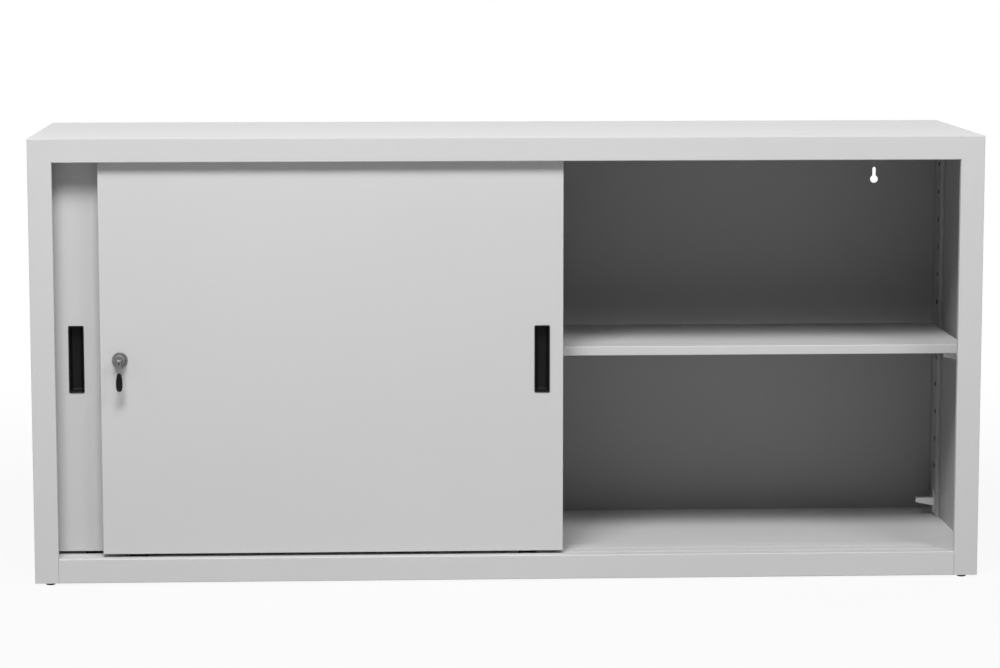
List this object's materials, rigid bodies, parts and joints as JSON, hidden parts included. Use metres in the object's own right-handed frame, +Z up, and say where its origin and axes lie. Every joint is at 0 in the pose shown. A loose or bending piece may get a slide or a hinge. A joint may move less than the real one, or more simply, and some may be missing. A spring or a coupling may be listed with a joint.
{
  "type": "sliding door cabinet",
  "caption": "Low wide steel cabinet with bypass sliding doors on top rollers, recessed pulls, a push lock with a folding key, clip-held shelves and a centre partition.",
  "frame": {"origin": "on the floor, in the middle of the box that the cabinet and its key take up", "axes": "+X to the right seen from the front, +Y to the back, +Z up"},
  "size_m": [1.6, 0.46, 0.754],
  "materials": {
    "painted_steel": "light grey fine-textured powder coat",
    "painted_steel_inside": "light grey powder coat",
    "black_plastic": "black moulded",
    "grey_plastic": "light grey extruded",
    "white_nylon": "natural nylon",
    "zinc_plated_steel": "bright zinc plate",
    "polished_metal": "nickel plate",
    "rubber": "matt"
  },
  "bodies": {
    "cabinet_shell": {"top_panel": "painted_steel", "bottom_panel": "painted_steel", "left_side_panel": "painted_steel", "right_side_panel": "painted_steel", "back_panel": "painted_steel_inside", "centre_partition": "painted_steel_inside", "left_front_upright": "painted_steel_inside", "left_rear_upright": "painted_steel_inside", "right_front_upright": "painted_steel_inside", "right_rear_upright": "painted_steel_inside", "left_front_foot": "black_plastic", "left_rear_foot": "black_plastic", "right_front_foot": "black_plastic", "right_rear_foot": "black_plastic", "lower_track": "grey_plastic", "upper_track": "zinc_plated_steel", "spare_shelf_clip": "zinc_plated_steel", "left_shelf_front_outer_clip": "zinc_plated_steel", "left_shelf_front_inner_clip": "zinc_plated_steel", "left_shelf_rear_outer_clip": "zinc_plated_steel", "left_shelf_rear_inner_clip": "zinc_plated_steel", "right_shelf_front_outer_clip": "zinc_plated_steel", "right_shelf_front_inner_clip": "zinc_plated_steel", "right_shelf_rear_outer_clip": "zinc_plated_steel", "right_shelf_rear_inner_clip": "zinc_plated_steel", "front_left_stop": "rubber", "front_right_stop": "rubber", "rear_left_stop": "rubber", "rear_right_stop": "rubber"},
    "front_door": {"front_door_panel": "painted_steel", "front_door_rib": "painted_steel_inside", "front_door_pull": "black_plastic", "front_left_hanger": "zinc_plated_steel", "front_right_hanger": "zinc_plated_steel", "front_left_guide": "black_plastic", "front_right_guide": "black_plastic", "lock_housing": "polished_metal", "lock_nut": "zinc_plated_steel"},
    "rear_door": {"rear_door_panel": "painted_steel", "rear_door_rib": "painted_steel_inside", "rear_door_pull": "black_plastic", "rear_left_hanger": "zinc_plated_steel", "rear_right_hanger": "zinc_plated_steel", "rear_left_guide": "black_plastic", "rear_right_guide": "black_plastic", "lock_catch": "zinc_plated_steel"},
    "front_left_wheel": {"front_left_roller": "white_nylon"},
    "front_right_wheel": {"front_right_roller": "white_nylon"},
    "rear_left_wheel": {"rear_left_roller": "white_nylon"},
    "rear_right_wheel": {"rear_right_roller": "white_nylon"},
    "lock_slider": {"lock_plunger": "polished_metal"},
    "lock_cylinder": {"lock_core": "polished_metal", "key_blade": "polished_metal"},
    "key_grip": {"key_shank": "polished_metal", "key_pin": "polished_metal", "key_bow": "black_plastic"},
    "left_shelf_tray": {"left_shelf": "painted_steel"},
    "right_shelf_tray": {"right_shelf": "painted_steel"}
  },
  "joints": [
    {"name": "front_door_slide", "type": "slide", "parent": "cabinet_shell", "child": "front_door", "axis": [1, 0, 0], "range_m": [-0.079, 0.673]},
    {"name": "rear_door_slide", "type": "slide", "parent": "cabinet_shell", "child": "rear_door", "axis": [1, 0, 0], "range_m": [-0.001, 0.751]},
    {"name": "front_left_spin", "type": "hinge", "parent": "front_door", "child": "front_left_wheel", "pos_m": [-0.626, -0.2005, 0.7383], "axis": [0, 1, 0], "range_deg": [-460, 3870]},
    {"name": "front_right_spin", "type": "hinge", "parent": "front_door", "child": "front_right_wheel", "pos_m": [0.032, -0.2005, 0.7383], "axis": [0, 1, 0], "range_deg": [-460, 3870]},
    {"name": "rear_left_spin", "type": "hinge", "parent": "rear_door", "child": "rear_left_wheel", "pos_m": [-0.704, -0.1705, 0.7383], "axis": [0, 1, 0], "range_deg": [-10, 4330]},
    {"name": "rear_right_spin", "type": "hinge", "parent": "rear_door", "child": "rear_right_wheel", "pos_m": [-0.046, -0.1705, 0.7383], "axis": [0, 1, 0], "range_deg": [-10, 4330]},
    {"name": "lock_push", "type": "slide", "parent": "front_door", "child": "lock_slider", "axis": [0, 1, 0], "range_m": [0, 0.012], "stiffness_N_per_m": 400, "springref_m": -0.01},
    {"name": "key_turn", "type": "hinge", "parent": "lock_slider", "child": "lock_cylinder", "pos_m": [-0.653, -0.213, 0.382], "axis": [0, -1, 0], "range_deg": [0, 90]},
    {"name": "key_fold", "type": "hinge", "parent": "lock_cylinder", "child": "key_grip", "pos_m": [-0.653, -0.2265, 0.382], "axis": [-1, 0, 0], "range_deg": [0, 90]},
    {"name": "left_shelf_lift", "type": "slide", "parent": "cabinet_shell", "child": "left_shelf_tray", "axis": [0, 0, 1], "range_m": [0, 0.06]},
    {"name": "right_shelf_lift", "type": "slide", "parent": "cabinet_shell", "child": "right_shelf_tray", "axis": [0, 0, 1], "range_m": [0, 0.06]}
  ],
  "couplings": [
    {"joint": "front_left_spin", "follows": "front_door_slide", "rad_per_m": 100},
    {"joint": "front_right_spin", "follows": "front_door_slide", "rad_per_m": 100},
    {"joint": "rear_left_spin", "follows": "rear_door_slide", "rad_per_m": 100},
    {"joint": "rear_right_spin", "follows": "rear_door_slide", "rad_per_m": 100}
  ]
}
